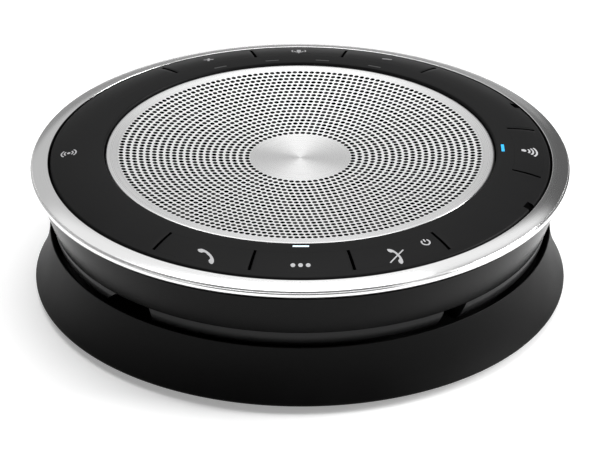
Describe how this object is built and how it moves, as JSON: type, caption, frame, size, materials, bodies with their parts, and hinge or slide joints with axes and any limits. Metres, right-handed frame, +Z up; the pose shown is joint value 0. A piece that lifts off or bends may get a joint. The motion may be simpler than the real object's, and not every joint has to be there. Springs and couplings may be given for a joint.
{
  "type": "conference speakerphone",
  "caption": "Round tabletop speakerphone with a dished metal speaker grille, a ring of press keys and status lights, a metal rim and a flared rubber base with a cable groove.",
  "frame": {"origin": "centre of the underside, at the level of the rubber feet", "axes": "+Z up through the middle of the grille, -Y towards the front call keys, +X towards the wireless key"},
  "size_m": [0.12, 0.12, 0.0327],
  "materials": {
    "rubber_base": "matte moulded rubber",
    "foot_rubber": "matte rubber",
    "black_plastic": "fine moulded texture",
    "screw_steel": "blackened zinc",
    "battery_wrap": "heat-shrunk sleeve",
    "grey_foam": "closed-cell foam",
    "satin_black": "satin",
    "soft_black": "soft-touch paint",
    "circuit_board": "solder mask",
    "tinned_steel": "tinned",
    "chip_black": "moulded epoxy",
    "capacitor_can": "drawn",
    "connector_white": "moulded nylon",
    "amber_film": "polyimide film",
    "black_steel": "black coat",
    "zinc_steel": "zinc plated",
    "nickel_magnet": "nickel plated",
    "copper": "enamelled copper",
    "cone_paper": "pressed pulp",
    "surround_rubber": "satin",
    "spider_cloth": "impregnated cloth",
    "grille_aluminium": "perforated, spun and anodised",
    "speaker_cloth": "acoustic cloth",
    "panel_black": "fine matte texture",
    "brushed_aluminium": "turned and anodised",
    "lit_white": "lit light guide",
    "lit_blue": "lit light guide",
    "clear_lens": "frosted light guide, unlit"
  },
  "bodies": {
    "housing": {"base_skirt": "rubber_base", "foot_pads": "foot_rubber", "base_plate": "black_plastic", "base_screws": "screw_steel", "battery_tray": "black_plastic", "battery_pack": "battery_wrap", "battery_foam": "grey_foam", "cable_clamp": "black_plastic", "cable_grommet": "foot_rubber", "lower_housing": "black_plastic", "waist_band": "satin_black", "upper_housing": "soft_black", "housing_screws": "screw_steel", "main_board": "circuit_board", "board_screws": "screw_steel", "shield_can": "tinned_steel", "radio_module": "tinned_steel", "audio_processor": "chip_black", "capacitors": "capacitor_can", "board_connectors": "connector_white", "flex_ribbon": "amber_film", "speaker_chamber": "black_plastic", "chamber_gasket": "grey_foam", "chamber_screws": "screw_steel", "speaker_baffle": "black_plastic", "driver_gasket": "grey_foam", "driver_basket": "black_steel", "driver_screws": "screw_steel", "magnet_yoke": "zinc_steel", "ring_magnet": "nickel_magnet", "top_plate": "zinc_steel", "surround": "surround_rubber", "spider": "spider_cloth", "speaker_grille": "grille_aluminium", "grille_cloth": "speaker_cloth", "grille_gasket": "grey_foam", "control_panel": "panel_black", "trim_ring": "brushed_aluminium", "key_board": "circuit_board", "key_board_screws": "screw_steel", "key_switches": "chip_black", "status_lights": "connector_white", "front_light_guide": "lit_white", "side_light_guide": "lit_blue", "rear_light_guides": "clear_lens", "microphones": "capacitor_can", "microphone_boots": "foot_rubber", "antenna_carrier": "grey_foam", "antenna_coil": "copper"},
    "call_button": {"call_key": "panel_black"},
    "menu_button": {"menu_key": "panel_black"},
    "end_call_button": {"end_call_key": "panel_black"},
    "wireless_button": {"wireless_key": "panel_black"},
    "volume_down_button": {"volume_down_key": "panel_black"},
    "mute_button": {"mute_key": "panel_black"},
    "volume_up_button": {"volume_up_key": "panel_black"},
    "cone_assembly": {"speaker_cone": "cone_paper", "dust_cap": "cone_paper", "voice_coil": "copper"}
  },
  "joints": [
    {"name": "call_press", "type": "slide", "parent": "housing", "child": "call_button", "axis": [0, 0, -1], "range_m": [0, 0.0003], "stiffness_N_per_m": 500, "springref_m": -0.0006},
    {"name": "menu_press", "type": "slide", "parent": "housing", "child": "menu_button", "axis": [0, 0, -1], "range_m": [0, 0.0003], "stiffness_N_per_m": 500, "springref_m": -0.0006},
    {"name": "end_call_press", "type": "slide", "parent": "housing", "child": "end_call_button", "axis": [0, 0, -1], "range_m": [0, 0.0003], "stiffness_N_per_m": 500, "springref_m": -0.0006},
    {"name": "wireless_press", "type": "slide", "parent": "housing", "child": "wireless_button", "axis": [0, 0, -1], "range_m": [0, 0.0003], "stiffness_N_per_m": 500, "springref_m": -0.0006},
    {"name": "volume_down_press", "type": "slide", "parent": "housing", "child": "volume_down_button", "axis": [0, 0, -1], "range_m": [0, 0.0003], "stiffness_N_per_m": 500, "springref_m": -0.0006},
    {"name": "mute_press", "type": "slide", "parent": "housing", "child": "mute_button", "axis": [0, 0, -1], "range_m": [0, 0.0003], "stiffness_N_per_m": 500, "springref_m": -0.0006},
    {"name": "volume_up_press", "type": "slide", "parent": "housing", "child": "volume_up_button", "axis": [0, 0, -1], "range_m": [0, 0.0003], "stiffness_N_per_m": 500, "springref_m": -0.0006},
    {"name": "cone_travel", "type": "slide", "parent": "housing", "child": "cone_assembly", "axis": [0, 0, 1], "range_m": [-0.0008, 0.0008], "stiffness_N_per_m": 800, "deforming": ["surround", "spider"]}
  ]
}
